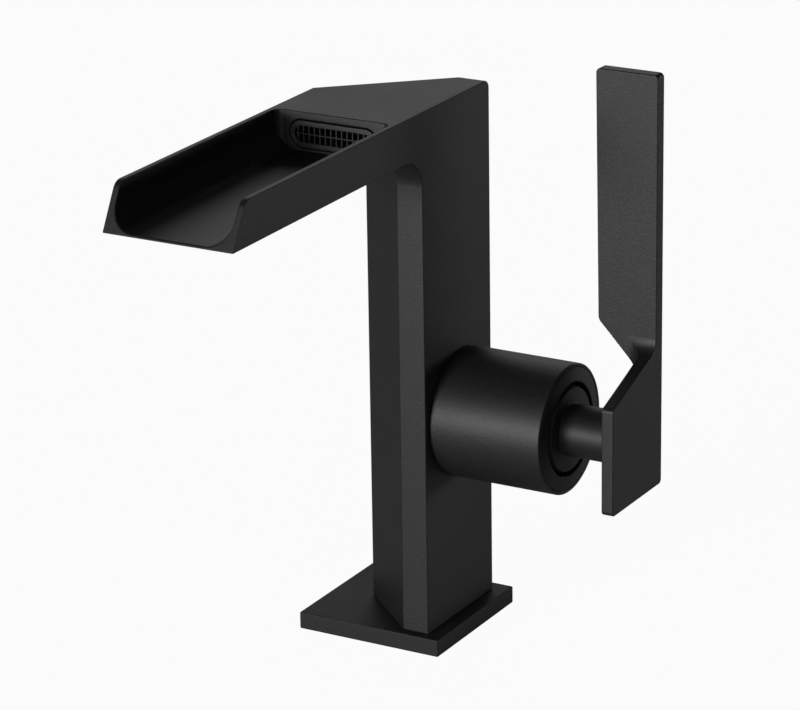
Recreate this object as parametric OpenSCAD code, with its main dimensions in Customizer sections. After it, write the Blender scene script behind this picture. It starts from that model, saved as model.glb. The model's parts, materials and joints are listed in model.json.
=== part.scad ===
// Single-lever waterfall basin tap: a coated body on a square base plate, with an open
// channel spout, and a mixing cartridge with an angled blade lever on its right side.
// Millimetres. +Z is up and the spout points to -Y. The origin is the centre of the base
// plate's underside, where the fixing stud screws in. The cartridge's axis runs along X.

/* [Base plate] */
// Rim of the base plate beyond the column's front face
plate_margin = 3; // [2:0.1:10]
// Thickness of the base plate
plate_t = 5.6; // [3:0.1:10]
// Distance of the gasket from the plate's edges
gasket_inset = 1.5; // [1:0.1:3]
// Width of the square gasket ring
gasket_w = 2; // [1:0.1:3]
// Thickness of the gasket
gasket_t = 1.5; // [0.8:0.1:2.5]

/* [Column] */
// Distance from the stud's axis to the column's flat right face
col_right = 20; // [17:0.1:26]
// Wall in front of the cartridge's pocket
front_wall = 5.95; // [4:0.05:9]
// Wall behind the cartridge's pocket
back_wall = 2.45; // [1.5:0.05:5]
// Radius on the column's left edge
nose_r = 1; // [0.5:0.1:5]
// Step from the column in to the foot that stands in the base plate
foot_inset = 1.5; // [1:0.1:2]
// Radius between the spout's underside and the column's front strip
web_r = 10; // [1:0.1:14]

/* [Spout] */
// Height of the spout's level underside
spout_z = 160.85; // [120:0.5:220]
// Height of the spout's side walls
spout_h = 13.65; // [11:0.05:20]
// Width of the spout
spout_w = 43.6; // [38:0.1:54]
// Reach of the lip ahead of the stud's axis
spout_reach = 129; // [90:0.5:170]
// How far the lip's end face leans back over the spout's height
lip_lean = 7.5; // [0:0.1:12]
// Radius at the top of the lip's end face
lip_r = 4; // [1:0.1:6]
// Thickness of the side walls
wall_t = 2.1; // [1.5:0.1:4]
// Distance from the column's front face to the channel's back wall
channel_start = 15; // [8:0.1:25]
// Thickness of the channel's floor at the back wall
floor_back = 1.55; // [1.2:0.05:3]
// Thickness of the channel's floor at the lip
floor_lip = 0.8; // [0.6:0.05:3]
// Radius between the channel's floor and its side walls
floor_r = 7.5; // [2:0.1:10]
// Radius of the channel's upright back corners
corner_r = 2.5; // [1:0.1:6]

/* [Outlet grille] */
// Width of the grille's rim
grille_w = 30.3; // [20:0.1:34]
// Height of the grille's rim
grille_h = 8.45; // [6:0.05:10]
// Height of the rim above the channel's floor
grille_lift = 1; // [0.5:0.1:2]
// Width of the rim's face
rim_w = 1.75; // [1:0.05:2.5]
// Depth of the grille in the back wall
grille_t = 3; // [2:0.1:6]
// How far the rim stands out of the back wall
rim_proud = 0.3; // [0.1:0.05:1]
// Gap between the rim and its pocket
rim_gap = 0.25; // [0.1:0.05:0.3]
// Distance from one bar of the grille to the next
bar_pitch = 1.885; // [1.2:0.005:4]
// Thickness of the bars
bar_t = 0.5; // [0.3:0.05:1]
// Depth of the bars
bar_depth = 1.5; // [0.8:0.1:2]
// Thickness of the flat seal behind the grille
outlet_seal_t = 0.8; // [0.5:0.1:2]

/* [Waterways] */
// Radius of the water ports and their bores
way_r = 3.3; // [2.5:0.1:4]
// Radius of the bore that rises to the spout
riser_r = 4.2; // [3:0.1:5]
// Least wall between two waterways
web_t = 1.2; // [1:0.1:2]
// Depth of the chamber behind the grille
chamber_depth = 25; // [15:0.5:30]
// Radius of the threaded hole for the fixing stud
stud_r = 3.4; // [2.5:0.1:4]
// Depth of the threaded hole for the fixing stud
stud_depth = 14; // [8:0.5:25]
// Radius of the threaded inlets for the flexible hoses
inlet_r = 4.5; // [3.5:0.1:5]
// Depth of the threaded inlets
inlet_depth = 12; // [8:0.5:20]

/* [Cartridge housing] */
// Distance of the cartridge's axis behind the stud's axis
house_y = 1; // [0:0.05:2]
// Height of the cartridge's axis
house_z = 72.85; // [55:0.05:100]
// Wall of the housing round the cartridge
house_wall = 3; // [2:0.1:5]
// Step from the cartridge's radius in to the housing's spigot
spigot_step = 0.5; // [0.3:0.1:2]
// Depth of the spigot in the column
spigot_len = 5; // [4:0.1:7]
// Thickness of the housing's floor outside the column
floor_t = 2; // [1.5:0.1:4]
// Step from the housing's bore out to its thread
thread_step = 0.7; // [0.4:0.05:1.5]
// Radius of the round seals' section
seal_r = 0.75; // [0.5:0.05:1]

/* [Trim ring and nut] */
// Width of the trim ring's face
ring_w = 4.6; // [3:0.1:6]
// Length of the trim ring
ring_len = 4.5; // [3:0.1:8]
// How far the trim ring's face rises to its inner edge
ring_cone = 0.6; // [0.2:0.05:1.5]
// Gap between the trim ring and the lever's ball
ball_gap = 0.6; // [0.4:0.05:1]
// Length of the nut that clamps the cartridge
nut_len = 6; // [4:0.1:7]
// Free length between the nut and the trim ring
nut_space = 1.7; // [0.5:0.1:4]
// Width and depth of the nut's spanner notches
notch = 1.6; // [1:0.1:2.4]
// Number of spanner notches in the nut
notch_n = 6; // [4:1:8]

/* [Cartridge] */
// Outer radius of the cartridge
cart_r = 17.5; // [15:0.1:20]
// Wall of the cartridge's shell
shell_wall = 2.45; // [1.5:0.05:3.5]
// Width of the lip that holds the rotor in
lip_w = 2.95; // [1.5:0.05:4]
// Thickness of that lip
lip_t = 1.1; // [0.8:0.1:2]
// Thickness of the cartridge's base
base_len = 11; // [7:0.1:16]
// Thickness of the port seals
port_seal_t = 1.5; // [1:0.1:2.5]
// Width of the port seals' rings
port_seal_w = 1.6; // [0.8:0.1:1.8]
// Thickness of the fixed ceramic disc
fixed_t = 3.5; // [2.5:0.1:5]
// Thickness of the moving ceramic disc
moving_t = 3; // [2.5:0.1:5]
// Thickness of the disc driver's plate
driver_t = 1.5; // [1:0.1:3]
// Height of the disc driver's square boss
boss_h = 2.6; // [2:0.1:4]
// Thickness of the rotor's flange over the boss
flange_t = 0.5; // [0.4:0.1:2]
// Radius of the locating pegs
peg_r = 1.5; // [1:0.1:2]
// Length of the locating pegs
peg_len = 2.5; // [1.5:0.1:4]
// Opening angle of the moving disc's pocket
pocket_angle = 90; // [70:1:100]

/* [Lever movement] */
// Height of the tilt pin above the cartridge's end
pivot_rise = 7.2; // [6:0.1:10]
// Largest tilt of the lever
tilt_max = 20; // [10:1:20]
// Radius of the tilt pin
pin_r = 1.25; // [0.8:0.05:1.5]
// Radius of the ball on the spindle's inner end
tip_r = 2.4; // [2:0.05:3]
// Radius of the spindle's arm
arm_r = 1.8; // [1.2:0.05:2]
// Thickness of the spindle's flat block
block_t = 4; // [3.6:0.1:4.8]
// Width of the spindle's square end
square_w = 6; // [4.8:0.1:7]
// Length of the spindle's square end in its socket
square_len = 6.3; // [5:0.1:10]
// Radius of the grub screw
grub_r = 1.95; // [1.2:0.05:2.4]

/* [Lever] */
// Radius of the lever's stem
stem_r = 8.2; // [7:0.1:10]
// Length of the stem from the trim ring to the lever
stem_len = 18.7; // [12:0.1:30]
// Wall of the stem round the rotor's neck
stem_wall = 1.6; // [1.2:0.1:2]
// Radius of the stem's spigot in the lever
rivet_r = 4; // [3:0.1:5]
// Length of that spigot
rivet_len = 2; // [1.5:0.1:3]
// Width of the lever's plate
lever_w = 33.4; // [26:0.1:44]
// Thickness of the lever's plate
lever_t = 4; // [3.5:0.1:6]
// Thickness of the blade
blade_t = 4.4; // [3:0.1:6]
// Width of the blade at its top
blade_w = 20.8; // [12:0.1:25]
// How much narrower the blade is at its foot
blade_taper = 1; // [0:0.1:3]
// Height of the blade above the cartridge's axis
blade_top = 111.85; // [80:0.5:150]
// Reach of the plate below the axis
plate_drop = 19.15; // [14:0.1:28]
// Height of the plate's front edge above the axis
plate_rise = 15.15; // [12:0.1:22]
// Rise of the plate's upper edge towards the blade
edge_rise = 10.4; // [4:0.1:14]
// Height of the blade's slanting foot at its left edge above the axis
foot_high = 32.45; // [28:0.1:45]
// Height of the slanting foot at the plate above the axis
foot_low = 16.25; // [10:0.1:20]
// Radius inside the corner of plate and blade
inner_r = 6; // [2:0.1:8]
// Radius where the plate's upper edge meets the blade
crease_r = 5; // [0.5:0.1:6]
// Radius of the lever's outer corners
tip_corner_r = 1.5; // [0.5:0.1:3]
// Radius at the foot of the blade's left edge
heel_r = 3; // [0.5:0.1:6]

/* [Hidden] */
$fn = 96;
// Steps in each arc of a rounded corner
arc_n = 12;
// Clearance of running fits, on the radius
fit = 0.05;
// Clearance of pieces that are put together
gap = 0.1;
// Clearance of parts that swing past each other
swing_gap = 0.5;
// Length that cutters run past the solid
over = 1;
// Length that a blind bore runs past the bore that meets it
bore_end = 0.4;
// Length of the rotor's neck past the tilt pin's axis
neck_over = 2;

// Radii of the cartridge and its housing
house_bore = cart_r + gap;
house_r = house_bore + house_wall;
spigot_r = cart_r - spigot_step;
pocket_r = spigot_r + fit;
thread_r = house_bore + thread_step;
seat_r = (house_r + thread_r) / 2;
ring_r = seat_r - ring_w;
ball_r = ring_r - ball_gap;
shell_bore = cart_r - shell_wall;
lip_bore = shell_bore - lip_w;
seal_floor_r = pocket_r - 2 * seal_r;
flange_r = shell_bore - gap;
rotor_groove_r = flange_r - 2 * seal_r + fit;

// Column's plan: its faces and the points where its slanting sides start
col_front = pocket_r + front_wall - house_y;
col_back = pocket_r + back_wall + house_y;
back_share = 0.625;
strip_share = 0.55;
nose_share = 0.5925;
back_x = col_right * back_share;
strip_x = col_right * strip_share;
nose_x = -col_right * nose_share;
side_slope = (col_front + col_back) / (back_x + strip_x - 2 * nose_x);
side_angle = atan(side_slope);
nose_y = col_back - side_slope * (back_x - nose_x);
plate_half = col_front + plate_margin;

// Spout
spout_top = spout_z + spout_h;
spout_left = col_right - spout_w;
spout_mid = col_right - spout_w / 2;
wing_y = col_back - side_slope * (back_x - spout_left);
back_y = -col_front - channel_start;
channel_len = spout_reach + back_y;
floor_slope = atan((floor_back - floor_lip) / channel_len);
grille_z = spout_z + floor_back + grille_lift + grille_h / 2;
slot_w = grille_w - 2 * rim_w;
slot_h = grille_h - 2 * rim_w;
bar_n = floor(slot_w / bar_pitch);
pocket_depth = grille_t + outlet_seal_t;

// Stations along the cartridge's axis, measured from the stud's axis
pocket_x = col_right - spigot_len;
base_x = col_right + floor_t;
fixed_x = base_x + base_len;
moving_x = fixed_x + fixed_t;
driver_x = moving_x + moving_t;
boss_x = driver_x + driver_t;
rotor_x = boss_x + gap;
channel_x = boss_x + boss_h + 2 * gap;
flange_x = channel_x + flange_t;
lip_x = flange_x + gap;
shell_x = lip_x + lip_t;
nut_x = shell_x + nut_len;
seat_x = nut_x + nut_space;
ring_x = seat_x + ring_len;
hub_x = ring_x + ring_cone;
lever_x = hub_x + stem_len;
pivot_x = shell_x + pivot_rise;

// Lever's linkage
tip_x = boss_x + 2 * gap + boss_h / 2 - gap;
arm_len = pivot_x - tip_x;
travel = arm_len * tilt_max * PI / 180;
disc_r = shell_bore - travel - fit;
port_reach = disc_r - way_r - 3 * fit;
boss_share = 0.465;
boss_w = 2 * shell_bore * boss_share;
neck_r = stem_r - stem_wall - swing_gap - 6 * gap;
cavity_share = 0.77;
cavity_r = ball_r * cavity_share;
skirt_x = pivot_x - (pivot_rise - swing_gap - ball_r * sin(tilt_max)) / cos(tilt_max);
neck_x = pivot_x + neck_over;
cavity_x = neck_x + 2 * swing_gap + 2 * gap;
block_x = hub_x + swing_gap + gap;
socket_x = block_x + swing_gap + 3 * gap;
square_x = socket_x + square_len;
block_w = square_w;

// Waterways
way_x = pocket_x - way_r - web_t;
inlet_half = 2 * way_r + web_t;
riser_x = way_x - way_r - riser_r + gap;
inlet_angle = 30;
peg_reach_share = 0.745;
peg_angle = 32;

// Direction from point a to point b
function heading(a, b) = (b - a) / norm(b - a);
// Half of the angle at corner p between its neighbours a and b
function half_angle(a, p, b) = acos(heading(p, a) * heading(p, b)) / 2;
function arc_centre(a, p, b, r) =
  p + heading([0, 0], heading(p, a) + heading(p, b)) * r / sin(half_angle(a, p, b));
function turns_left(a, p, b) =
  (p[0] - a[0]) * (b[1] - p[1]) - (p[1] - a[1]) * (b[0] - p[0]) > 0;

function turned(v, angle) =
  [v[0] * cos(angle) - v[1] * sin(angle), v[0] * sin(angle) + v[1] * cos(angle)];
// Points of the arc of radius r that rounds corner p, or p itself where r is 0
function corner_points(a, p, b, r) =
  r <= 0 ? [p] :
  let (half = half_angle(a, p, b),
       centre = arc_centre(a, p, b, r),
       start = p + heading(p, a) * r / tan(half) - centre,
       sweep = (turns_left(a, p, b) ? 1 : -1) * (180 - 2 * half))
  [for (i = [0:arc_n]) centre + turned(start, sweep * i / arc_n)];

// Polygon, anticlockwise, with its corners rounded to the given radii
module rounded(points, radii) {
  n = len(points);
  polygon([for (i = [0:n - 1])
    each corner_points(points[(i + n - 1) % n], points[i], points[(i + 1) % n], radii[i])]);
}

// Slot with round ends, w wide and h high, centred
module slot(w, h) {
  polygon([for (side = [1, -1])
    for (i = [0:2 * arc_n])
      side * ([(w - h) / 2, 0] + turned([0, -h / 2], 90 * i / arc_n))]);
}

// Column's plan, drawn in by the given step
module column_plan(step) {
  ease = step * tan(side_angle / 2);
  rounded(
    [[col_right - step, step - col_front],
     [col_right - step, col_back - step],
     [back_x + ease, col_back - step],
     [nose_x + step / sin(side_angle), nose_y],
     [strip_x + ease, step - col_front]],
    [0, 0, 0, nose_r - step, 0]);
}

// Places a profile drawn in Y and Z so that it runs along X from the given station
module along_x(from, length) {
  translate([from, 0, 0])
    rotate([90, 0, 90])
      linear_extrude(length)
        children();
}

// Places a profile drawn in X and Z so that it runs along -Y from the given station
module along_y(from, length) {
  translate([0, from, 0])
    rotate([90, 0, 0])
      linear_extrude(length)
        children();
}

// Cartridge's axis: children have their Z along it, their X to the back and their Y up
module on_axis() {
  translate([0, house_y, house_z])
    rotate([90, 0, 90])
      children();
}

// Cylinder about the current Z axis between two stations
module shaft(from, to, r) {
  translate([0, 0, from])
    cylinder(h = to - from, r = r);
}

// Block about the current Z axis between two stations
module bar(from, to, width, height) {
  translate([0, 0, (from + to) / 2])
    cube([width, height, to - from], center = true);
}

// The two inlets and the outlet, as places on the cartridge's face
module at_inlets() {
  for (side = [-1, 1])
    rotate([0, 0, 90 + side * (90 - inlet_angle)])
      translate([port_reach, 0, 0])
        children();
}

module at_outlet() {
  translate([0, -port_reach, 0])
    children();
}

module at_ports() {
  at_inlets()
    children();
  at_outlet()
    children();
}

module at_pegs() {
  for (side = [-1, 1])
    translate([side * cart_r * peg_reach_share * cos(peg_angle),
               -cart_r * peg_reach_share * sin(peg_angle), 0])
      children();
}

// Fixed pieces

module base_plate() {
  color([0.10, 0.10, 0.11])
    difference() {
      linear_extrude(plate_t)
        square(2 * plate_half, center = true);
      translate([0, 0, -over])
        linear_extrude(plate_t + 2 * over)
          column_plan(foot_inset - gap);
      translate([0, 0, -over])
        linear_extrude(gasket_t + over)
          gasket_plan();
    }
}

module gasket_plan() {
  difference() {
    square(2 * (plate_half - gasket_inset), center = true);
    square(2 * (plate_half - gasket_inset - gasket_w), center = true);
  }
}

module base_gasket() {
  color([0.06, 0.06, 0.06])
    linear_extrude(gasket_t)
      gasket_plan();
}

// Spout's outline from the side, with its leaning end face
module spout_side() {
  rounded(
    [[-spout_reach, spout_z], [col_back + over, spout_z],
     [col_back + over, spout_top], [-spout_reach + lip_lean, spout_top]],
    [0, 0, 0, lip_r]);
}

module spout_block() {
  intersection() {
    translate([0, 0, spout_z])
      linear_extrude(spout_h)
        polygon([[spout_left, -spout_reach], [col_right, -spout_reach],
                 [col_right, col_back], [back_x, col_back], [spout_left, wing_y]]);
    along_x(spout_left - over, spout_w + 2 * over)
      spout_side();
  }
}

// Round corner under the spout, on the column's front strip
module spout_web() {
  corner = [-col_front, spout_z];
  below = corner - [0, 2 * web_r];
  ahead = corner - [2 * web_r, 0];
  along_x(strip_x, col_right - strip_x)
    polygon(concat([corner + [over, over]],
                   [[-col_front - web_r, spout_z + over]],
                   corner_points(ahead, corner, below, web_r),
                   [[-col_front + over, spout_z - web_r]]));
}

// Water channel: its floor falls towards the lip and curves up into the side walls
module channel() {
  half = spout_w / 2 - wall_t;
  rise = spout_h + over;
  intersection() {
    translate([spout_mid, back_y, spout_z + floor_back])
      rotate([floor_slope, 0, 0])
        along_y(over, channel_len + 2 * over)
          rounded([[-half, 0], [half, 0], [half, rise], [-half, rise]],
                  [floor_r, floor_r, 0, 0]);
    translate([spout_mid, 0, spout_z])
      linear_extrude(spout_h + over)
        rounded([[-half, -spout_reach - over], [half, -spout_reach - over],
                 [half, back_y], [-half, back_y]],
                [0, 0, corner_r, corner_r]);
  }
}

// Grille's pocket, the chamber behind it and the way down to the cartridge
module outlet_way() {
  riser_z = house_z - port_reach - way_r - bore_end;
  translate([spout_mid, 0, grille_z]) {
    along_y(back_y + pocket_depth, pocket_depth + over)
      slot(grille_w + 2 * rim_gap, grille_h + 2 * rim_gap);
    along_y(back_y + chamber_depth, chamber_depth)
      slot(slot_w, slot_h);
  }
  translate([riser_x - riser_r, back_y + chamber_depth - slot_h, grille_z - slot_h / 2])
    cube([2 * riser_r, house_y - back_y - chamber_depth + slot_h, slot_h]);
  translate([riser_x, house_y, riser_z])
    cylinder(h = grille_z + slot_h / 2 - riser_z, r = riser_r);
  on_axis()
    at_outlet()
      shaft(riser_x, pocket_x + over, way_r);
}

// Threaded inlet in the foot and its bore up to the cartridge
module inlet_way(side) {
  port_y = side * port_reach * cos(inlet_angle);
  port_z = house_z + port_reach * sin(inlet_angle);
  translate([way_x, house_y + side * inlet_half, 0]) {
    translate([0, 0, -over])
      cylinder(h = inlet_depth + over, r = inlet_r);
    cylinder(h = port_z + way_r + bore_end, r = way_r);
  }
  translate([way_x, house_y + port_y, port_z])
    rotate([0, 90, 0])
      cylinder(h = spigot_len + over + way_r, r = way_r);
}

module faucet_body() {
  color([0.10, 0.10, 0.11])
    difference() {
      union() {
        linear_extrude(plate_t)
          column_plan(foot_inset);
        translate([0, 0, plate_t])
          linear_extrude(spout_z - plate_t)
            column_plan(0);
        spout_block();
        spout_web();
      }
      channel();
      outlet_way();
      for (side = [-1, 1])
        inlet_way(side);
      on_axis()
        shaft(pocket_x, col_right + over, pocket_r);
      translate([0, 0, -over])
        cylinder(h = stud_depth + over, r = stud_r);
    }
}

module outlet_grille() {
  color([0.16, 0.16, 0.17])
    translate([spout_mid, back_y, grille_z]) {
      along_y(grille_t, grille_t + rim_proud)
        difference() {
          slot(grille_w, grille_h);
          slot(slot_w, slot_h);
        }
      along_y(bar_depth, bar_depth)
        intersection() {
          slot(grille_w - rim_w, grille_h - rim_w);
          union() {
            square([slot_w + rim_w, bar_t], center = true);
            for (i = [0:bar_n - 1])
              translate([(i - (bar_n - 1) / 2) * bar_pitch, 0])
                square([bar_t, slot_h + rim_w], center = true);
          }
        }
    }
}

module outlet_seal() {
  color([0.06, 0.06, 0.06])
    translate([spout_mid, back_y, grille_z])
      along_y(pocket_depth, outlet_seal_t)
        difference() {
          slot(grille_w, grille_h);
          slot(slot_w, slot_h);
        }
}

// Turned cup: spigot with a seal groove, floor with the ports, thread and ring seat
module cartridge_housing() {
  groove = 2 * seal_r + 3 * gap;
  groove_x = pocket_x + (spigot_len - groove) / 2;
  color([0.10, 0.10, 0.11])
    on_axis()
      difference() {
        rotate_extrude()
          polygon([
            [0, pocket_x], [spigot_r, pocket_x], [spigot_r, groove_x],
            [seal_floor_r, groove_x], [seal_floor_r, groove_x + groove],
            [spigot_r, groove_x + groove], [spigot_r, col_right], [house_r, col_right],
            [house_r, ring_x], [seat_r, ring_x], [seat_r, seat_x], [thread_r, seat_x],
            [thread_r, shell_x], [house_bore, shell_x], [house_bore, base_x], [0, base_x]]);
        at_ports()
          shaft(pocket_x - over, base_x + over, way_r);
        at_pegs()
          shaft(base_x - peg_len - gap, base_x + over, peg_r + fit);
      }
}

module round_seal(station, floor_r) {
  on_axis()
    translate([0, 0, station])
      rotate_extrude()
        translate([floor_r + seal_r, 0])
          circle(seal_r);
}

module housing_seal() {
  color([0.06, 0.06, 0.06])
    round_seal(pocket_x + spigot_len / 2, seal_floor_r);
}

module cartridge_base() {
  color([0.85, 0.85, 0.83])
    on_axis()
      difference() {
        union() {
          shaft(base_x, fixed_x, cart_r);
          at_pegs()
            shaft(base_x - peg_len, base_x + over, peg_r);
        }
        at_ports() {
          shaft(base_x - over, fixed_x + over, way_r);
          shaft(base_x - over, base_x + port_seal_t, way_r + gap + port_seal_w + gap);
        }
      }
}

module port_seals() {
  color([0.55, 0.12, 0.10])
    on_axis()
      at_ports()
        difference() {
          shaft(base_x, base_x + port_seal_t, way_r + gap + port_seal_w);
          shaft(base_x - over, base_x + port_seal_t + over, way_r + gap);
        }
}

module cartridge_shell() {
  color([0.85, 0.85, 0.83])
    on_axis()
      rotate_extrude()
        polygon([[shell_bore, fixed_x], [cart_r, fixed_x], [cart_r, shell_x],
                 [lip_bore, shell_x], [lip_bore, lip_x], [shell_bore, lip_x]]);
}

module fixed_disc() {
  color([0.93, 0.93, 0.90])
    on_axis()
      difference() {
        shaft(fixed_x, moving_x, shell_bore - fit);
        at_ports()
          shaft(fixed_x - over, moving_x + over, way_r);
      }
}

module retaining_nut() {
  color([0.75, 0.62, 0.35])
    on_axis()
      difference() {
        shaft(shell_x, nut_x, thread_r - gap);
        shaft(shell_x - over, nut_x + over, ring_r + 3 * gap);
        for (i = [0:notch_n - 1])
          rotate([0, 0, i * 360 / notch_n])
            translate([thread_r, 0, 0])
              bar(nut_x - notch, nut_x + over, 2 * (thread_r - ring_r), notch);
      }
}

module trim_ring() {
  color([0.12, 0.12, 0.13])
    on_axis()
      rotate_extrude()
        polygon([[ring_r, seat_x], [seat_r - fit, seat_x], [seat_r - fit, ring_x],
                 [ring_r, hub_x]]);
}

// Pieces that turn with the lever

// Flange with a slide channel below, and a forked neck that carries the tilt pin
module rotor() {
  groove = 2 * seal_r;
  flange_mid = (rotor_x + flange_x) / 2;
  color([0.20, 0.35, 0.60])
    on_axis()
      difference() {
        rotate_extrude()
          polygon([
            [0, rotor_x], [flange_r, rotor_x], [flange_r, flange_mid - groove / 2],
            [rotor_groove_r, flange_mid - groove / 2],
            [rotor_groove_r, flange_mid + groove / 2], [flange_r, flange_mid + groove / 2],
            [flange_r, flange_x], [lip_bore - gap, flange_x], [lip_bore - gap, shell_x],
            [neck_r, shell_x], [neck_r, neck_x], [0, neck_x]]);
        translate([0, travel / 2, 0])
          bar(rotor_x - over, channel_x, boss_w + 2 * gap, boss_w + travel + 2 * gap);
        translate([0, travel / 2, 0])
          bar(channel_x - over, shell_x, 2 * (tip_r + gap), 2 * (tip_r + gap) + travel);
        bar(shell_x, neck_x + over, block_t + 2 * fit, 2 * neck_r + over);
        rotate([0, 90, 0])
          translate([-pivot_x, 0, -neck_r - over])
            cylinder(h = 2 * (neck_r + over), r = pin_r);
      }
}

module rotor_seal() {
  color([0.06, 0.06, 0.06])
    round_seal((rotor_x + flange_x) / 2, rotor_groove_r);
}

module pivot_pin() {
  half = neck_r - 3 * gap;
  color([0.70, 0.70, 0.72])
    on_axis()
      rotate([0, 90, 0])
        translate([-pivot_x, 0, -half])
          cylinder(h = 2 * half, r = pin_r);
}

// Pieces that slide across the fixed disc

// Ceramic disc with a mixing pocket in its lower face
module moving_disc() {
  reach = port_reach + way_r / 2;
  far = 2 * reach;
  color([0.93, 0.93, 0.90])
    on_axis()
      difference() {
        shaft(driver_x - moving_t, driver_x, disc_r);
        translate([0, 0, moving_x - over])
          linear_extrude(moving_t / 2 + over) {
            circle(port_reach - way_r - gap);
            intersection() {
              circle(reach);
              polygon([[0, 0], [-far * tan(pocket_angle / 2), -far],
                       [far * tan(pocket_angle / 2), -far]]);
            }
          }
      }
}

module disc_driver() {
  color([0.20, 0.35, 0.60])
    on_axis()
      difference() {
        union() {
          shaft(driver_x, boss_x, disc_r);
          bar(driver_x, boss_x + boss_h, boss_w, boss_w);
        }
        shaft(driver_x - over, boss_x + boss_h + over, tip_r + 3 * fit);
      }
}

// Pieces that tilt with the lever

// Ball-ended arm, flat block on the tilt pin, and square end for the lever
module spindle() {
  color([0.70, 0.70, 0.72])
    on_axis()
      difference() {
        union() {
          translate([0, 0, tip_x])
            sphere(tip_r);
          shaft(tip_x, pivot_x, arm_r);
          bar(shell_x + 3 * swing_gap, block_x, block_t, block_w);
          bar(block_x, square_x - gap, square_w, square_w);
        }
        rotate([0, 90, 0])
          translate([-pivot_x, 0, -block_t])
            cylinder(h = 2 * block_t, r = pin_r + fit);
      }
}

// Turned stem with a hollow ball that covers the rotor's neck
module lever_stem() {
  color([0.12, 0.12, 0.13])
    on_axis()
      difference() {
        union() {
          intersection() {
            translate([0, 0, pivot_x])
              sphere(ball_r);
            shaft(skirt_x, hub_x, ball_r + over);
          }
          shaft(cavity_x, lever_x, stem_r);
          shaft(lever_x - over, lever_x + rivet_len, rivet_r);
        }
        intersection() {
          translate([0, 0, pivot_x])
            sphere(cavity_r);
          shaft(skirt_x - over, cavity_x, ball_r);
        }
        shaft(cavity_x - over, socket_x, stem_r - stem_wall);
        bar(socket_x - over, square_x, square_w + 2 * fit, square_w + 2 * fit);
        grub_bore(stem_r + over, grub_r + fit);
      }
}

// Radial place of the grub screw, under the spindle's square end
module grub_bore(to, r) {
  translate([0, 0, (socket_x + square_x) / 2])
    rotate([90, 0, 0])
      shaft(square_w / 2, to, r);
}

module grub_screw() {
  color([0.30, 0.30, 0.32])
    on_axis()
      grub_bore(stem_r - swing_gap, grub_r);
}

// Lever's outline seen along the cartridge's axis, as Y and Z from it
module lever_front() {
  half = lever_w / 2;
  rounded(
    [[-half, -plate_drop], [half, -plate_drop], [half, blade_top],
     [half - blade_t, blade_top], [half - blade_t, plate_rise + edge_rise],
     [-half, plate_rise]],
    [tip_corner_r, tip_corner_r, 0, 0, crease_r, tip_corner_r]);
}

// Lever's outline seen from the spout's side, as X and Z
module lever_side() {
  right = lever_x + lever_t;
  rounded(
    [[lever_x, -plate_drop], [right, -plate_drop], [right, blade_top],
     [right - blade_w, blade_top], [right - blade_w + blade_taper, foot_high],
     [lever_x, foot_low]],
    [0, 0, tip_corner_r, tip_corner_r, heel_r, 0]);
}

// Lever's angle section seen from above, as X and Y
module lever_section() {
  half = lever_w / 2;
  right = lever_x + lever_t;
  rounded(
    [[lever_x, -half], [right, -half], [right, half], [right - blade_w, half],
     [right - blade_w, half - blade_t], [lever_x, half - blade_t]],
    [0, 0, 0, 0, 0, inner_r]);
}

module lever() {
  high = blade_top + plate_drop;
  right = lever_x + lever_t;
  color([0.10, 0.10, 0.11])
    translate([0, house_y, house_z])
      difference() {
        intersection() {
          along_x(right - blade_w - over, blade_w + 2 * over)
            lever_front();
          along_y(lever_w, 2 * lever_w)
            lever_side();
          translate([0, 0, -plate_drop - over])
            linear_extrude(high + 2 * over)
              lever_section();
        }
        rotate([90, 0, 90])
          shaft(lever_x - over, lever_x + rivet_len + gap, rivet_r + fit);
      }
}

base_plate();
base_gasket();
faucet_body();
outlet_grille();
outlet_seal();
cartridge_housing();
housing_seal();
cartridge_base();
port_seals();
cartridge_shell();
fixed_disc();
retaining_nut();
trim_ring();
rotor();
rotor_seal();
pivot_pin();
moving_disc();
disc_driver();
spindle();
lever_stem();
grub_screw();
lever();
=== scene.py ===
"""Looks of the waterfall basin tap: coated body, channel spout, side cartridge and lever."""

import json
import math

import bmesh
import bpy
from mathutils import Matrix, Vector


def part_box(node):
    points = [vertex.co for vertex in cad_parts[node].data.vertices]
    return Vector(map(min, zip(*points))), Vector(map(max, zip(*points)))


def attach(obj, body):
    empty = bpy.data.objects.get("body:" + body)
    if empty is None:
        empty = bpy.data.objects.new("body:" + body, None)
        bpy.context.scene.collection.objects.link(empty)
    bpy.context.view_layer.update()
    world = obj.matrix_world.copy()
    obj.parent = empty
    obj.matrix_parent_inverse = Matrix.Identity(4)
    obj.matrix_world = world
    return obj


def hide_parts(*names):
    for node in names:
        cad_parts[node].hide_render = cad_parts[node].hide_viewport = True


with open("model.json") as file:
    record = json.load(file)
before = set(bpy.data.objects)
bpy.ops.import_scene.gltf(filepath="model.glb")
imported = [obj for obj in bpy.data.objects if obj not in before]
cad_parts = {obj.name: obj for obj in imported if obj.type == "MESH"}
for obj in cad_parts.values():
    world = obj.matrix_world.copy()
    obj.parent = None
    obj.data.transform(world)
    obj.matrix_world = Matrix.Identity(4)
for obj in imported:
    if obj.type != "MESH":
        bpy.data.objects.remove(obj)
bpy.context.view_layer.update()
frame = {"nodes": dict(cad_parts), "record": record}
record = frame["record"]

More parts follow.
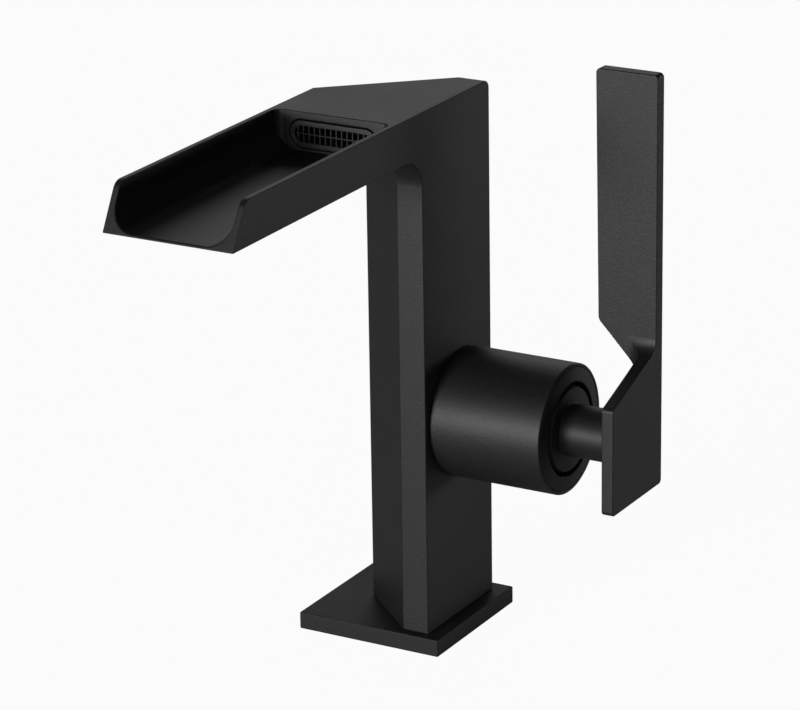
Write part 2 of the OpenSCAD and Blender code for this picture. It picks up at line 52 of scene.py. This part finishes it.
# Sizes read from the frame, in metres
plate_low, plate_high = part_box("base_plate")
body_low, body_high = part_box("faucet_body")
house_low, house_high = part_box("cartridge_housing")
ring_low, ring_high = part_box("trim_ring")
stem_low, stem_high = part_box("lever_stem")
lever_low, lever_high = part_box("lever")
grille_low, grille_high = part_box("outlet_grille")
axis_y = (house_low[1] + house_high[1]) / 2
axis_z = (house_low[2] + house_high[2]) / 2
house_r = (house_high[2] - house_low[2]) / 2
plate_t = plate_high[2]
col_right = body_high[0]
col_back = body_high[1]
spout_left = body_low[0]
lip_y = body_low[1]
spout_top = body_high[2]

# Column and spout, as in the part, in metres here and below
SPOUT_H = 0.01365
COL_FRONT = 0.022
STRIP_X = 0.011
BACK_X = 0.0125
NOSE_X = -0.01185
NOSE_R = 0.001
FOOT_INSET = 0.0015
WEB_R = 0.010
LIP_LEAN = 0.0075
LIP_R = 0.004
BACK_TOP_R = 0.0026
WALL_T = 0.0021
CHANNEL_START = 0.015
FLOOR_BACK = 0.00155
FLOOR_LIP = 0.0008
FLOOR_R = 0.0075
CORNER_R = 0.0025
RIM_W = 0.00175
RIM_GAP = 0.00025
RIM_DEPTH = 0.0038
BAR_PITCH = 0.001885
BAR_T = 0.0005
BAR_DEPTH = 0.0015
CHAMBER_DEPTH = 0.025
GASKET_INSET = 0.0015
GASKET_W = 0.002
GASKET_T = 0.0015
GAP = 0.0001
STUD = (0.0, 0.0, 0.0034, 0.014)
INLETS = [(0.0105, -0.0068, 0.0045, 0.012), (0.0105, 0.0088, 0.0045, 0.012)]
spout_z = spout_top - SPOUT_H
channel_back = -COL_FRONT - CHANNEL_START
side_slope = (COL_FRONT + col_back) / (BACK_X + STRIP_X - 2 * NOSE_X)

# Cartridge housing, ring and stem
SEAT_R = 0.01945
RING_R = 0.01485
RING_CONE = 0.0006
SEAT_LEN = 0.0045
SPIGOT_R = 0.017
SPIGOT_LEN = 0.005
HOUSE_BORE = 0.0176
PIVOT_X = 0.0527
BALL_R = 0.01425
CAVITY_R = 0.01097
STEM_R = 0.0082
NECK_R = 0.0066
SOCKET_X = 0.0597
SOCKET_DEPTH = 0.0038
RIVET_R = 0.004

# Lever
LEVER_T = 0.004
BLADE_T = 0.0044
BLADE_TAPER = 0.001
PLATE_RISE = 0.01515
EDGE_RISE = 0.0104
FOOT_HIGH = 0.03245
FOOT_LOW = 0.01625
INNER_R = 0.006
CREASE_R = 0.005
TIP_R = 0.0015
HEEL_R = 0.003

# Soft edges of the cast and turned pieces
EDGE_R = 0.0004
FINE_EDGE_R = 0.00018
CORNER_SHARE = 0.45
REACH_SHARE = 0.48
BEVEL_ANGLE = math.radians(28)
SHARP_ANGLE = math.radians(40)
STRAIGHT_ANGLE = math.radians(160)
FLAT_ANGLE = math.radians(0.4)

# How far cutters run past a face, what counts as one point, and the steps of arcs
OVER = 0.002
TINY = 0.000001
WELD = 0.0000001
SHORTEST = 0.00013
ARC_STEP = 0.0003
ARC_STEPS = 14
HOLE_STEPS = 48
TURN_STEPS = 160

# Camera that stands where the photograph was taken
CAMERA_AT = Vector((0.5740, -1.0040, 0.4926))
CAMERA_AZIMUTH = math.radians(29.81)
CAMERA_ELEVATION = math.radians(19.28)
CAMERA_ROLL = math.radians(-0.87)
CAMERA_LENS = 176.66
CAMERA_SENSOR = 36
CAMERA_FAR = 20

# Point that the lamps face, and the floor
AIM = (0, -0.03, 0.12)
FLOOR_REACH = 3.0
FLOOR_STEPS = 24
FLOOR_DROP = 0.0002
FLOOR_WHITE = 0.96


# Plane geometry

def corner_arc(before, at, after, radius):
    """Points of the arc that rounds the corner at, or the corner itself."""
    if radius <= 0:
        return [at]
    a, p, b = Vector(before), Vector(at), Vector(after)
    ua, ub = (a - p).normalized(), (b - p).normalized()
    half = ua.angle(ub) / 2
    centre = p + (ua + ub).normalized() * radius / math.sin(half)
    start = p + ua * radius / math.tan(half) - centre
    turn = (p - a).x * (b - p).y - (p - a).y * (b - p).x
    sweep = math.copysign(math.pi - 2 * half, turn)
    steps = max(4, min(ARC_STEPS, round(abs(sweep) * radius / ARC_STEP)))
    points = []
    for i in range(steps + 1):
        angle = sweep * i / steps
        spin = Vector((start.x * math.cos(angle) - start.y * math.sin(angle),
                       start.x * math.sin(angle) + start.y * math.cos(angle)))
        points.append(tuple(centre + spin))
    return points


def rounded(points, radii):
    """Polygon with its corners rounded to the given radii."""
    n = len(points)
    out = []
    for i in range(n):
        out += corner_arc(points[i - 1], points[i], points[(i + 1) % n], radii[i])
    return out


def slot_outline(width, height, steps=ARC_STEPS * 2):
    """Slot with round ends about the origin."""
    out = []
    for side in (1, -1):
        for i in range(steps + 1):
            angle = math.pi * (i / steps - 0.5)
            out.append((side * ((width - height) / 2 + height / 2 * math.cos(angle)),
                        side * height / 2 * math.sin(angle)))
    return out


def column_plan(step):
    """Plan of the column, drawn in by step, with its rounded left edge."""
    angle = math.atan(side_slope)
    nose_y = col_back - side_slope * (BACK_X - NOSE_X)
    ease = step * math.tan(angle / 2)
    return rounded(
        [(col_right - step, step - COL_FRONT), (col_right - step, col_back - step),
         (BACK_X + ease, col_back - step), (NOSE_X + step / math.sin(angle), nose_y),
         (STRIP_X + ease, step - COL_FRONT)],
        [0, 0, 0, NOSE_R - step, 0])


# Mesh building

def to_object(bm, name):
    """Puts a finished mesh in the scene."""
    bmesh.ops.remove_doubles(bm, verts=bm.verts, dist=WELD)
    bmesh.ops.recalc_face_normals(bm, faces=bm.faces)
    mesh = bpy.data.meshes.new(name)
    bm.to_mesh(mesh)
    bm.free()
    obj = bpy.data.objects.new(name, mesh)
    bpy.context.scene.collection.objects.link(obj)
    return obj


def place(point, along, level):
    """Puts a point of a profile in space: profiles along X hold (y, z), and so on."""
    u, v = point
    return {"x": (level, u, v), "y": (u, level, v), "z": (u, v, level)}[along]


def prism(name, outline, along, low, high):
    """Closed solid of an outline run between two levels."""
    bm = bmesh.new()
    ends = [[bm.verts.new(place(p, along, level)) for p in outline] for level in (low, high)]
    for end in ends:
        bm.faces.new(end)
    n = len(outline)
    for i in range(n):
        j = (i + 1) % n
        bm.faces.new((ends[0][i], ends[0][j], ends[1][j], ends[1][i]))
    return to_object(bm, name)


def frozen(obj):
    """Replaces the object's mesh with the one that its modifiers give."""
    graph = bpy.context.evaluated_depsgraph_get()
    mesh = bpy.data.meshes.new_from_object(obj.evaluated_get(graph))
    obj.modifiers.clear()
    obj.data = mesh


def carve(obj, other, operation):
    """Joins, cuts or intersects a solid with another, which is used up."""
    change = obj.modifiers.new("carve", "BOOLEAN")
    change.operation = operation
    change.solver = "EXACT"
    change.object = other
    frozen(obj)
    bpy.data.objects.remove(other)


def soften(obj, radius, plain_part=None):
    """Rounds the outward edges and shades the faces smoothly between them.

    The edges whose middle plain_part names stay as they are.
    """
    bm = bmesh.new()
    bm.from_mesh(obj.data)
    bmesh.ops.remove_doubles(bm, verts=bm.verts, dist=2 * TINY)
    bmesh.ops.dissolve_degenerate(bm, dist=2 * TINY, edges=bm.edges)
    bmesh.ops.dissolve_limit(bm, angle_limit=FLAT_ANGLE, verts=bm.verts, edges=bm.edges)
    join_close(bm)
    weight = bm.edges.layers.float.new("bevel_weight_edge")
    for edge in bm.edges:
        middle = (edge.verts[0].co + edge.verts[1].co) / 2
        if edge.is_convex and edge.calc_face_angle(0) > BEVEL_ANGLE:
            edge[weight] = 0.0 if plain_part and plain_part(middle) else 1.0
    bm.to_mesh(obj.data)
    bm.free()
    bevel = obj.modifiers.new("edge", "BEVEL")
    bevel.width = radius
    bevel.segments = 3
    bevel.limit_method = "WEIGHT"
    bevel.use_clamp_overlap = False
    bevel.miter_outer = "MITER_ARC"
    frozen(obj)
    shade(obj)


def join_close(bm):
    """Joins the ends of the few very short edges that the cuts leave."""
    while True:
        short = [e for e in bm.edges if e.calc_length() < SHORTEST]
        if not short:
            return
        edge = min(short, key=lambda e: e.calc_length())
        first, second = edge.verts
        bmesh.ops.weld_verts(bm, targetmap={first: second})


def shade(obj):
    """Shades the object smoothly, except across its sharp inner corners."""
    obj.data.shade_smooth()
    bm = bmesh.new()
    bm.from_mesh(obj.data)
    for edge in bm.edges:
        edge.smooth = edge.calc_face_angle(0) < SHARP_ANGLE
    bm.to_mesh(obj.data)
    bm.free()
    weigh_normals(obj, True)


def weigh_normals(obj, keep_sharp=False):
    """Lets the large faces keep their own direction in the shading."""
    weighted = obj.modifiers.new("shade", "WEIGHTED_NORMAL")
    weighted.weight = 100
    weighted.keep_sharp = keep_sharp


def turned_piece(name, profile, radius=EDGE_R):
    """Solid turned about the cartridge's axis from (x, r) points, with soft corners."""
    outline = []
    n = len(profile)
    for i in range(n):
        before, at, after = profile[i - 1], profile[i], profile[(i + 1) % n]
        to_before, to_after = Vector(before) - Vector(at), Vector(after) - Vector(at)
        shortest = min(to_before.length, to_after.length)
        soft = min(radius, shortest * CORNER_SHARE) if at[1] > TINY else 0
        straight = to_before.angle(to_after) > STRAIGHT_ANGLE
        outline += [at] if straight or soft <= 0 else small_arc(before, at, after, soft)
    bm = bmesh.new()
    rings = []
    for x, r in outline:
        if r < TINY:
            rings.append([bm.verts.new((x, axis_y, axis_z))])
            continue
        ring = []
        for k in range(TURN_STEPS):
            angle = 2 * math.pi * k / TURN_STEPS
            ring.append(bm.verts.new((x, axis_y + r * math.cos(angle),
                                      axis_z + r * math.sin(angle))))
        rings.append(ring)
    for first, second in zip(rings, rings[1:] + rings[:1]):
        for k in range(TURN_STEPS):
            j = (k + 1) % TURN_STEPS
            # A ring of one point on the axis gives triangles
            quad = [first[k % len(first)], first[j % len(first)], second[j % len(second)],
                    second[k % len(second)]]
            corners = list(dict.fromkeys(quad))
            if len(corners) > 2:
                bm.faces.new(corners)
    obj = to_object(bm, name)
    obj.data.shade_smooth()
    weigh_normals(obj)
    return obj


def small_arc(before, at, after, radius, steps=4):
    """Short arc for a turned corner."""
    a, p, b = Vector(before), Vector(at), Vector(after)
    ua, ub = (a - p).normalized(), (b - p).normalized()
    half = ua.angle(ub) / 2
    reach = min(radius / math.tan(half), (a - p).length * REACH_SHARE,
                (b - p).length * REACH_SHARE)
    radius = reach * math.tan(half)
    centre = p + (ua + ub).normalized() * radius / math.sin(half)
    start, end = p + ua * reach - centre, p + ub * reach - centre
    turn = start.angle_signed(end)
    out = []
    for i in range(steps + 1):
        angle = -turn * i / steps
        out.append((centre.x + start.x * math.cos(angle) - start.y * math.sin(angle),
                    centre.y + start.x * math.sin(angle) + start.y * math.cos(angle)))
    return out


# Materials

def surface(name):
    """New material, with its nodes, links and shader."""
    material = bpy.data.materials.new(name)
    material.use_nodes = True
    nodes = material.node_tree.nodes
    return material, nodes, material.node_tree.links, nodes["Principled BSDF"]


def coat(name, tone, roughness, grain, depth, spread, shine=0.5):
    """Powder coat: a fine grain in colour and relief, and a soft sheen."""
    material, nodes, links, shader = surface(name)
    shader.inputs["Specular IOR Level"].default_value = shine
    where = nodes.new("ShaderNodeTexCoord")
    fine = nodes.new("ShaderNodeTexNoise")
    fine.inputs["Scale"].default_value = grain
    fine.inputs["Detail"].default_value = 3
    fine.inputs["Roughness"].default_value = 0.65
    broad = nodes.new("ShaderNodeTexNoise")
    broad.inputs["Scale"].default_value = grain / 40
    broad.inputs["Detail"].default_value = 2
    ramp = nodes.new("ShaderNodeValToRGB")
    ramp.color_ramp.elements[0].position = 0.3
    ramp.color_ramp.elements[1].position = 0.72
    ramp.color_ramp.elements[0].color = (*[tone * (1 - spread)] * 3, 1)
    ramp.color_ramp.elements[1].color = (*[tone * (1 + spread)] * 3, 1)
    gloss = nodes.new("ShaderNodeMapRange")
    gloss.inputs["To Min"].default_value = roughness - 0.04
    gloss.inputs["To Max"].default_value = roughness + 0.04
    bump = nodes.new("ShaderNodeBump")
    bump.inputs["Strength"].default_value = 1
    bump.inputs["Distance"].default_value = depth
    for texture in (fine, broad):
        links.new(where.outputs["Object"], texture.inputs["Vector"])
    links.new(fine.outputs["Fac"], ramp.inputs["Fac"])
    links.new(ramp.outputs["Color"], shader.inputs["Base Color"])
    links.new(broad.outputs["Fac"], gloss.inputs["Value"])
    links.new(gloss.outputs["Result"], shader.inputs["Roughness"])
    links.new(fine.outputs["Fac"], bump.inputs["Height"])
    links.new(bump.outputs["Normal"], shader.inputs["Normal"])
    return material


def plain(name, colour, roughness, metallic=0.0, scale=900.0, spread=0.12):
    """Moulded, ceramic or machined surface with a faint mottle."""
    material, nodes, links, shader = surface(name)
    shader.inputs["Metallic"].default_value = metallic
    where = nodes.new("ShaderNodeTexCoord")
    noise = nodes.new("ShaderNodeTexNoise")
    noise.inputs["Scale"].default_value = scale
    noise.inputs["Detail"].default_value = 4
    ramp = nodes.new("ShaderNodeValToRGB")
    ramp.color_ramp.elements[0].color = (*[c * (1 - spread) for c in colour], 1)
    ramp.color_ramp.elements[1].color = (*[min(1, c * (1 + spread)) for c in colour], 1)
    gloss = nodes.new("ShaderNodeMapRange")
    gloss.inputs["To Min"].default_value = max(0.05, roughness - 0.06)
    gloss.inputs["To Max"].default_value = roughness + 0.06
    links.new(where.outputs["Object"], noise.inputs["Vector"])
    links.new(noise.outputs["Fac"], ramp.inputs["Fac"])
    links.new(ramp.outputs["Color"], shader.inputs["Base Color"])
    links.new(noise.outputs["Fac"], gloss.inputs["Value"])
    links.new(gloss.outputs["Result"], shader.inputs["Roughness"])
    return material


MATERIALS = {
    "black_coat": coat("black_coat", 0.0105, 0.50, 1400, 0.00005, 0.45),
    "flat_coat": coat("flat_coat", 0.0170, 0.58, 1400, 0.00005, 0.45, 0.34),
    "grille_trim": coat("grille_trim", 0.0190, 0.46, 1900, 0.00003, 0.20),
    "black_trim": coat("black_trim", 0.0100, 0.52, 1900, 0.00005, 0.35),
    "brass": plain("brass", (0.75, 0.60, 0.30), 0.35, 1.0),
    "steel": plain("steel", (0.62, 0.62, 0.64), 0.30, 1.0),
    "ceramic": plain("ceramic", (0.90, 0.90, 0.87), 0.20, 0.0, 400, 0.03),
    "white_plastic": plain("white_plastic", (0.80, 0.80, 0.78), 0.45, 0.0, 500, 0.04),
    "blue_plastic": plain("blue_plastic", (0.10, 0.22, 0.45), 0.40, 0.0, 500, 0.08),
    "rubber": plain("rubber", (0.03, 0.03, 0.03), 0.70, 0.0, 1500, 0.20),
}


def dress(obj, finish):
    """Gives the object one material."""
    obj.data.materials.clear()
    obj.data.materials.append(MATERIALS[finish])


def settle(obj, node, slot, finish=None):
    """Makes a piece stand for its CAD node, on the same body."""
    dress(obj, finish or slot)
    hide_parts(node)
    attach(obj, body_of[node])
    return obj


body_of = {node: body for body, nodes in record["behaviour"]["bodies"].items() for node in nodes}


# Pieces

def make_plate():
    """Square cover plate, with the gasket's groove below and the foot's opening."""
    half = plate_high[0]
    square = [(-half, -half), (half, -half), (half, half), (-half, half)]
    plate = prism("plate", square, "z", 0, plate_t)
    outer, inner = half - GASKET_INSET, half - GASKET_INSET - GASKET_W
    groove = prism("groove", scaled(square, outer / half), "z", -OVER, GASKET_T)
    carve(groove, prism("core", scaled(square, inner / half), "z", -2 * OVER, 2 * GASKET_T),
          "DIFFERENCE")
    carve(plate, groove, "DIFFERENCE")
    carve(plate, prism("opening", column_plan(FOOT_INSET - GAP), "z", -OVER, plate_t + OVER),
          "DIFFERENCE")
    soften(plate, EDGE_R)
    return settle(plate, "base_plate", "black_coat", "flat_coat")


def scaled(points, share):
    """Outline drawn in or out about the origin."""
    return [(u * share, v * share) for u, v in points]


def round_hole(x, y, radius, depth):
    """Cutter for a round hole that goes up from the underside."""
    angles = [math.tau * i / HOLE_STEPS for i in range(HOLE_STEPS)]
    circle = [(x + radius * math.cos(angle), y + radius * math.sin(angle)) for angle in angles]
    return prism("hole", circle, "z", -OVER, depth)


def make_body():
    """Column, spout, web and foot in one casting, with its channel and its holes."""
    wing_y = col_back - side_slope * (BACK_X - spout_left)
    side = rounded(
        [(lip_y, spout_z), (col_back, spout_z), (col_back, spout_top),
         (lip_y + LIP_LEAN, spout_top)],
        [0, 0, BACK_TOP_R, LIP_R])
    body = prism("body", side, "x", spout_left, col_right)
    behind = prism("behind", [(spout_left - OVER, wing_y - side_slope * OVER),
                              (BACK_X, col_back), (BACK_X, col_back + OVER),
                              (spout_left - OVER, col_back + OVER)],
                   "z", spout_z - OVER, spout_top + OVER)
    carve(body, behind, "DIFFERENCE")
    carve(body, prism("column", column_plan(0), "z", plate_t, spout_z), "UNION")
    carve(body, prism("foot", column_plan(FOOT_INSET), "z", 0, plate_t + OVER), "UNION")
    corner, below, ahead = (-COL_FRONT, spout_z), (-COL_FRONT, spout_z - 1), (-1, spout_z)
    web = [(-COL_FRONT + OVER, spout_z + OVER), (-COL_FRONT - WEB_R, spout_z + OVER)]
    web += corner_arc(ahead, corner, below, WEB_R) + [(-COL_FRONT + OVER, spout_z - WEB_R)]
    carve(body, prism("web", web, "x", STRIP_X, col_right), "UNION")
    carve(body, make_channel(), "DIFFERENCE")
    cut_outlet(body)
    for x, y, radius, depth in [STUD] + INLETS:
        carve(body, round_hole(x, y, radius, depth), "DIFFERENCE")
    # The foot is hidden, and the web's left edge runs out to nothing
    soften(body, EDGE_R, lambda at: at.z < OVER or (
        abs(at.x - STRIP_X) < GAP and at.y < -COL_FRONT - TINY and at.z < spout_z))
    return settle(body, "faucet_body", "black_coat")


def make_channel():
    """Cutter for the water channel, whose floor falls a little towards the lip."""
    middle = (spout_left + col_right) / 2
    half = (col_right - spout_left) / 2 - WALL_T
    length = channel_back - lip_y
    rise = SPOUT_H + OVER
    profile = rounded([(-half, 0), (half, 0), (half, rise), (-half, rise)],
                      [FLOOR_R, FLOOR_R, 0, 0])
    trough = prism("trough", profile, "y", -length - 3 * OVER, 3 * OVER)
    tilt = Matrix.Rotation(math.atan((FLOOR_BACK - FLOOR_LIP) / length), 4, "X")
    place_at = Matrix.Translation((middle, channel_back, spout_z + FLOOR_BACK))
    trough.data.transform(place_at @ tilt)
    plan = rounded([(middle - half, lip_y - 2 * OVER), (middle + half, lip_y - 2 * OVER),
                    (middle + half, channel_back), (middle - half, channel_back)],
                   [0, 0, CORNER_R, CORNER_R])
    carve(trough, prism("plan", plan, "z", spout_z - OVER, spout_top + OVER), "INTERSECT")
    return trough


def grille_place():
    """Middle, height, width and tallness of the grille, read from its box."""
    middle = (grille_low[0] + grille_high[0]) / 2
    height = (grille_low[2] + grille_high[2]) / 2
    width, tall = grille_high[0] - grille_low[0], grille_high[2] - grille_low[2]
    return middle, height, width, tall


def moved(points, u, v):
    """Outline shifted in its plane."""
    return [(a + u, b + v) for a, b in points]


def cut_outlet(body):
    """Cuts the grille's seat and the chamber behind it into the channel's back wall."""
    middle, height, width, tall = grille_place()
    for name, ease, low, high in (("pocket", RIM_GAP, -OVER, RIM_DEPTH),
                                  ("chamber", -RIM_W, 0, CHAMBER_DEPTH)):
        outline = moved(slot_outline(width + 2 * ease, tall + 2 * ease), middle, height)
        cutter = prism(name, outline, "y", channel_back + low, channel_back + high)
        carve(body, cutter, "DIFFERENCE")


def make_grille():
    """Oblong rim with upright bars and one cross bar."""
    middle, height, width, tall = grille_place()
    rim = moved(slot_outline(width, tall), middle, height)
    hole = moved(slot_outline(width - 2 * RIM_W, tall - 2 * RIM_W), middle, height)
    grille = prism("grille", rim, "y", grille_low[1], grille_high[1])
    carve(grille, prism("hole", hole, "y", grille_low[1] - OVER, grille_high[1] + OVER),
          "DIFFERENCE")
    soften(grille, FINE_EDGE_R * 2)
    bm = bmesh.new()
    slot_w, slot_h = width - 2 * RIM_W, tall - 2 * RIM_W
    count = int(slot_w / BAR_PITCH)
    boxes = [(middle - slot_w / 2, middle + slot_w / 2,
              height - BAR_T / 2, height + BAR_T / 2)]
    for i in range(count):
        x = middle + (i - (count - 1) / 2) * BAR_PITCH
        inside = max(0.0, abs(x - middle) - (slot_w - slot_h) / 2)
        reach = math.sqrt(max(0.0, (slot_h / 2) ** 2 - inside ** 2)) + RIM_W / 4
        boxes.append((x - BAR_T / 2, x + BAR_T / 2, height - reach, height + reach))
    for n, (x0, x1, z0, z1) in enumerate(boxes):
        # The cross bar stands a little behind the upright ones
        front = channel_back + (BAR_T / 3 if n == 0 else 0)
        add_bar(bm, (x0, front, z0), (x1, channel_back + BAR_DEPTH, z1))
    bars = to_object(bm, "grille_bars")
    soften(bars, FINE_EDGE_R)
    settle(bars, "outlet_grille", "black_trim", "grille_trim")
    return settle(grille, "outlet_grille", "black_trim", "grille_trim")


def add_bar(bm, low, high):
    """Adds a box between two corners."""
    corners = [bm.verts.new((x, y, z)) for x in (low[0], high[0]) for y in (low[1], high[1])
               for z in (low[2], high[2])]
    for quad in ((0, 1, 3, 2), (4, 6, 7, 5), (0, 4, 5, 1),
                 (2, 3, 7, 6), (0, 2, 6, 4), (1, 5, 7, 3)):
        bm.faces.new([corners[i] for i in quad])


def make_housing():
    """Round sleeve, a cup with a seat for the ring in its open end."""
    x0, x1 = house_low[0], house_high[0]
    seat = x1 - SEAT_LEN
    profile = [(x0, 0), (x0, SPIGOT_R), (x0 + SPIGOT_LEN, SPIGOT_R), (x0 + SPIGOT_LEN, house_r),
               (x1, house_r), (x1, SEAT_R), (seat, SEAT_R), (seat, HOUSE_BORE),
               (x0 + SPIGOT_LEN + OVER, HOUSE_BORE), (x0 + SPIGOT_LEN + OVER, 0)]
    return settle(turned_piece("housing", profile), "cartridge_housing", "black_coat")


def make_ring():
    """Ring that closes the housing's end."""
    x0, x1 = ring_low[0], ring_high[0]
    outer = SEAT_R - GAP / 2
    profile = [(x0, RING_R), (x0, outer), (x1 - RING_CONE, outer), (x1, RING_R)]
    return settle(turned_piece("ring", profile, FINE_EDGE_R * 2), "trim_ring", "black_trim")


def make_stem():
    """Turned stem: a hollow ball that covers the pivot, and the bar out to the lever."""
    hub_x = ring_high[0]
    skirt_x = stem_low[0]

    def sphere_points(radius, start, end, steps=24):
        first = math.acos((start - PIVOT_X) / radius)
        last = math.acos(min(1.0, (end - PIVOT_X) / radius))
        out = []
        for i in range(steps + 1):
            angle = first + (last - first) * i / steps
            out.append((PIVOT_X + radius * math.cos(angle), radius * math.sin(angle)))
        return out

    lever_x = lever_high[0] - LEVER_T
    cavity_x = SOCKET_X - SOCKET_DEPTH
    outside = sphere_points(BALL_R, skirt_x, hub_x)
    inside = sphere_points(CAVITY_R, skirt_x, cavity_x)
    profile = outside + [(hub_x, STEM_R), (lever_x, STEM_R), (lever_x, RIVET_R),
                         (stem_high[0], RIVET_R), (stem_high[0], 0), (SOCKET_X, 0),
                         (SOCKET_X, NECK_R), (cavity_x, NECK_R)] + inside[::-1]
    return settle(turned_piece("stem", profile, FINE_EDGE_R * 2), "lever_stem", "black_trim")


def make_lever():
    """Angle-shaped lever: three outlines that cross in one solid."""
    right, left = lever_high[0], lever_low[0]
    front, back = lever_low[1], lever_high[1]
    low, high = lever_low[2], lever_high[2]
    inner = right - LEVER_T
    edge = axis_z + PLATE_RISE
    lever = prism("lever", rounded(
        [(front, low), (back, low), (back, high), (back - BLADE_T, high),
         (back - BLADE_T, edge + EDGE_RISE), (front, edge)],
        [TIP_R, TIP_R, 0, 0, CREASE_R, TIP_R]), "x", left - OVER, right + OVER)
    side = prism("side", rounded(
        [(inner, low - OVER), (right, low - OVER), (right, high), (left, high),
         (left + BLADE_TAPER, axis_z + FOOT_HIGH), (inner, axis_z + FOOT_LOW)],
        [0, 0, TIP_R, TIP_R, HEEL_R, 0]), "y", front - OVER, back + OVER)
    carve(lever, side, "INTERSECT")
    plan = prism("plan", rounded(
        [(inner, front - OVER), (right, front - OVER), (right, back + OVER),
         (left - OVER, back + OVER), (left - OVER, back - BLADE_T), (inner, back - BLADE_T)],
        [0, 0, 0, 0, 0, INNER_R]), "z", low - 2 * OVER, high + OVER)
    carve(lever, plan, "INTERSECT")
    # The fillet's end at the blade's foot runs out to nothing
    soften(lever, EDGE_R, lambda at: (at.x < inner - TINY and at.y < back - BLADE_T - TINY
                                      and at.z < axis_z + FOOT_HIGH))
    return settle(lever, "lever", "black_coat")


make_plate()
make_body()
make_grille()
make_housing()
make_ring()
make_stem()
make_lever()

slot_of = {part["node"]: part["material_slot"] for part in record["subparts"]}
for node, obj in frame["nodes"].items():
    dress(obj, slot_of[node])


# Floor, light and camera

def make_floor():
    """Pale floor that looks almost white to the camera and takes the shadow."""
    bm = bmesh.new()
    steps = FLOOR_STEPS
    ticks = [FLOOR_REACH * (2 * i / steps - 1) for i in range(steps + 1)]
    grid = [[bm.verts.new((x, y, -FLOOR_DROP)) for y in ticks] for x in ticks]
    for i in range(steps):
        for j in range(steps):
            bm.faces.new((grid[i][j], grid[i + 1][j], grid[i + 1][j + 1], grid[i][j + 1]))
    floor = to_object(bm, "floor")
    material, nodes, links, shader = surface("pale_floor")
    shader.inputs["Base Color"].default_value = (0.85, 0.85, 0.85, 1)
    shader.inputs["Roughness"].default_value = 0.9
    shader.inputs["Specular IOR Level"].default_value = 0.1
    glow = nodes.new("ShaderNodeEmission")
    glow.inputs["Strength"].default_value = 1.0
    rays = nodes.new("ShaderNodeLightPath")
    share = nodes.new("ShaderNodeMath")
    share.operation = "MULTIPLY"
    share.inputs[1].default_value = FLOOR_WHITE
    blend = nodes.new("ShaderNodeMixShader")
    links.new(rays.outputs["Is Camera Ray"], share.inputs[0])
    links.new(share.outputs[0], blend.inputs["Fac"])
    links.new(shader.outputs[0], blend.inputs[1])
    links.new(glow.outputs[0], blend.inputs[2])
    links.new(blend.outputs[0], nodes["Material Output"].inputs["Surface"])
    floor.data.materials.append(material)


def make_world(strength):
    """Surround that is white to the camera and gives the object a little soft light."""
    world = bpy.data.worlds.new("studio")
    bpy.context.scene.world = world
    world.use_nodes = True
    nodes, links = world.node_tree.nodes, world.node_tree.links
    nodes.clear()
    out = nodes.new("ShaderNodeOutputWorld")
    seen = nodes.new("ShaderNodeBackground")
    seen.inputs["Color"].default_value = (1, 1, 1, 1)
    soft = nodes.new("ShaderNodeBackground")
    soft.inputs["Color"].default_value = (1, 1, 1, 1)
    soft.inputs["Strength"].default_value = strength
    rays = nodes.new("ShaderNodeLightPath")
    blend = nodes.new("ShaderNodeMixShader")
    links.new(rays.outputs["Is Camera Ray"], blend.inputs["Fac"])
    links.new(soft.outputs[0], blend.inputs[1])
    links.new(seen.outputs[0], blend.inputs[2])
    links.new(blend.outputs[0], out.inputs["Surface"])


def softbox(name, at, width, height, watts):
    """Rectangular lamp that faces the object."""
    light = bpy.data.lights.new(name, "AREA")
    light.shape = "RECTANGLE"
    light.size, light.size_y = width, height
    light.energy = watts
    lamp = bpy.data.objects.new(name, light)
    bpy.context.scene.collection.objects.link(lamp)
    lamp.location = at
    lamp.rotation_euler = (Vector(AIM) - Vector(at)).to_track_quat("-Z", "Y").to_euler()


def make_camera():
    """Camera at the photograph's place, with its own slight roll."""
    a, e, r = CAMERA_AZIMUTH, CAMERA_ELEVATION, CAMERA_ROLL
    back = Vector((math.sin(a) * math.cos(e), -math.cos(a) * math.cos(e), math.sin(e)))
    level = Vector((math.cos(a), math.sin(a), 0))
    rise = back.cross(level)
    right = math.cos(r) * level + math.sin(r) * rise
    up = math.cos(r) * rise - math.sin(r) * level
    camera = bpy.data.objects.new("camera", bpy.data.cameras.new("camera"))
    camera.data.lens = CAMERA_LENS
    camera.data.sensor_width = CAMERA_SENSOR
    camera.data.clip_end = CAMERA_FAR
    turned = Matrix((right, up, back)).transposed().to_4x4()
    camera.matrix_world = Matrix.Translation(CAMERA_AT) @ turned
    bpy.context.scene.collection.objects.link(camera)
    bpy.context.scene.camera = camera


make_floor()
make_world(0.012)
softbox("key", (-0.65, -2.42, 0.34), 0.7, 0.4, 26)
softbox("front", (-0.35, -2.47, 0.34), 1.0, 0.6, 20)
softbox("side", (1.90, 1.07, 0.14), 1.2, 0.3, 7.6)
softbox("back", (-1.05, 1.65, 1.02), 1.4, 0.9, 4.3)
softbox("rear", (0, 2.16, 0.20), 1.4, 0.3, 5)
softbox("fill", (1.65, -0.98, 1.22), 1.2, 1.0, 3)
make_camera()
bpy.context.scene.view_settings.view_transform = "Standard"
